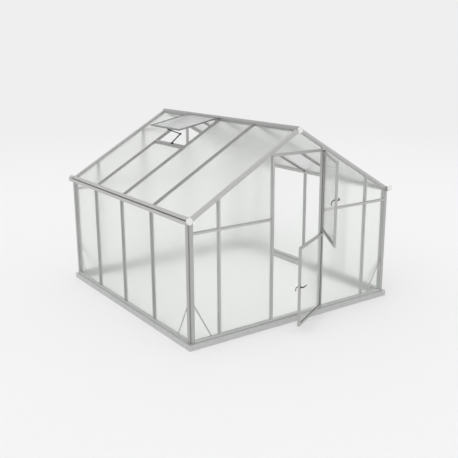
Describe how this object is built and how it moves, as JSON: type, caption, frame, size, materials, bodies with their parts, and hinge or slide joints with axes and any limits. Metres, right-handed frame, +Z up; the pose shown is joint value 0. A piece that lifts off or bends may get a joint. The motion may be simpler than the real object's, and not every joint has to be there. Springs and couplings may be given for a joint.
{
  "type": "polycarbonate greenhouse",
  "caption": "Walk-in greenhouse with an aluminium frame, multiwall polycarbonate sheets, gutters, a low steel base, a propped roof vent and a stable door with two swinging leaves.",
  "frame": {"origin": "middle of the doorway on the ground: under the ridge, on the underside of the front base rail, in the plane of the front wall's outer face", "axes": "+X to the right as seen facing the door, +Y from the door into the building, along the ridge, +Z up"},
  "size_m": [3.05, 3.7196, 2.3094],
  "materials": {
    "aluminium_frame": "mill-finish anodised extrusion, satin",
    "galvanised_base": "galvanised sheet steel, dull",
    "polycarbonate": "multiwall polycarbonate with fine upright flutes, translucent",
    "end_caps": "moulded pale plastic",
    "black_fittings": "moulded black nylon"
  },
  "bodies": {
    "root": {"base_front": "galvanised_base", "base_back": "galvanised_base", "base_left": "galvanised_base", "base_right": "galvanised_base", "front_sill": "aluminium_frame", "back_sill": "aluminium_frame", "left_sill": "aluminium_frame", "right_sill": "aluminium_frame", "front_corner_posts": "aluminium_frame", "back_corner_posts": "aluminium_frame", "left_wall_bars": "aluminium_frame", "right_wall_bars": "aluminium_frame", "left_gutter": "aluminium_frame", "right_gutter": "aluminium_frame", "gutter_caps": "end_caps", "ridge_beam": "aluminium_frame", "ridge_caps": "end_caps", "front_rafters": "aluminium_frame", "back_rafters": "aluminium_frame", "front_mullions": "aluminium_frame", "door_jambs": "aluminium_frame", "door_head": "aluminium_frame", "front_transoms": "aluminium_frame", "back_gable_bars": "aluminium_frame", "back_gable_rails": "aluminium_frame", "left_roof_bars": "aluminium_frame", "right_roof_bars": "aluminium_frame", "left_wall_sheets": "polycarbonate", "right_wall_sheets": "polycarbonate", "front_gable_sheets": "polycarbonate", "back_gable_sheets": "polycarbonate", "left_roof_sheets": "polycarbonate", "right_roof_sheets": "polycarbonate", "vent_sill": "aluminium_frame", "vent_frame": "aluminium_frame", "vent_sheet": "polycarbonate", "vent_stay": "black_fittings", "corner_braces": "aluminium_frame", "door_pivots": "black_fittings"},
    "lower_leaf": {"lower_door_frame": "aluminium_frame", "lower_door_sheet": "polycarbonate", "lower_door_handle": "black_fittings"},
    "upper_leaf": {"upper_door_frame": "aluminium_frame", "upper_door_sheet": "polycarbonate", "upper_door_handle": "black_fittings"}
  },
  "joints": [
    {"name": "lower_leaf_hinge", "type": "hinge", "parent": "root", "child": "lower_leaf", "pos_m": [0.368, -0.019, 0.107], "axis": [0, 0, 1], "range_deg": [-28, 122]},
    {"name": "upper_leaf_hinge", "type": "hinge", "parent": "root", "child": "upper_leaf", "pos_m": [0.368, -0.019, 1.058], "axis": [0, 0, 1], "range_deg": [-58, 92]}
  ]
}
